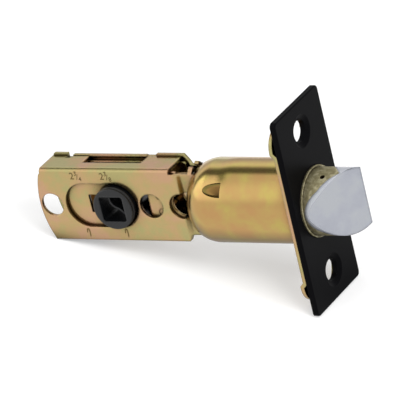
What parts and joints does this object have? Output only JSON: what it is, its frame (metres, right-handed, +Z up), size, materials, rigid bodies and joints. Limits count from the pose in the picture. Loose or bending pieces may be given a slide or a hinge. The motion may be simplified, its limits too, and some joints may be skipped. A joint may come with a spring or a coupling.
{
  "type": "tubular privacy latch",
  "caption": "Spring latch with a round front tube, bevelled bolt, flat faceplate and a slotted case whose square-socket hub slides between two backsets.",
  "frame": {"origin": "centre of the faceplate's front face, on the bolt's axis", "axes": "+X out of the door edge along the bolt, +Y through the door's thickness towards the bolt's flat side, +Z up along the faceplate"},
  "size_m": [0.0975, 0.0254, 0.0572],
  "materials": {
    "black_enamel": "black enamel, satin",
    "yellow_zinc": "yellow passivated zinc plate",
    "satin_chrome": "satin chrome plate",
    "plain_steel": "bright drawn steel",
    "black_plastic": "moulded black, slightly glossy"
  },
  "bodies": {
    "case": {"faceplate": "black_enamel", "backplate": "yellow_zinc", "front_tube": "yellow_zinc", "bolt_collar": "yellow_zinc", "spring_seat": "yellow_zinc", "bolt_spring": "plain_steel", "near_case_plate": "yellow_zinc", "far_case_plate": "yellow_zinc"},
    "bolt": {"bolt_core": "yellow_zinc", "bolt_cap": "satin_chrome", "tail_pin": "plain_steel", "drawbar": "yellow_zinc", "catch_springs": "plain_steel", "catch_rivets": "plain_steel"},
    "cage": {"near_cage_plate": "yellow_zinc", "far_cage_plate": "yellow_zinc", "cage_spacers": "plain_steel"},
    "retractor": {"retractor": "yellow_zinc"},
    "hub": {"hub": "black_plastic"}
  },
  "joints": [
    {"name": "bolt_slide", "type": "slide", "parent": "case", "child": "bolt", "axis": [-1, 0, 0], "range_m": [0, 0.0127], "stiffness_N_per_m": 350, "springref_m": -0.012, "deforming": ["bolt_spring"]},
    {"name": "backset_slide", "type": "slide", "parent": "case", "child": "cage", "axis": [-1, 0, 0], "range_m": [0, 0.00953], "deforming": ["catch_springs"]},
    {"name": "hub_turn", "type": "hinge", "parent": "cage", "child": "hub", "pos_m": [-0.06032, 0, 0], "axis": [0, -1, 0], "range_deg": [0, 90]},
    {"name": "retractor_slide", "type": "slide", "parent": "cage", "child": "retractor", "axis": [-1, 0, 0], "range_m": [0, 0.0127]}
  ],
  "couplings": [
    {"joint": "hub_turn", "follows": "bolt_slide", "rad_per_m": 123.68},
    {"joint": "retractor_slide", "follows": "bolt_slide", "ratio": 1}
  ]
}
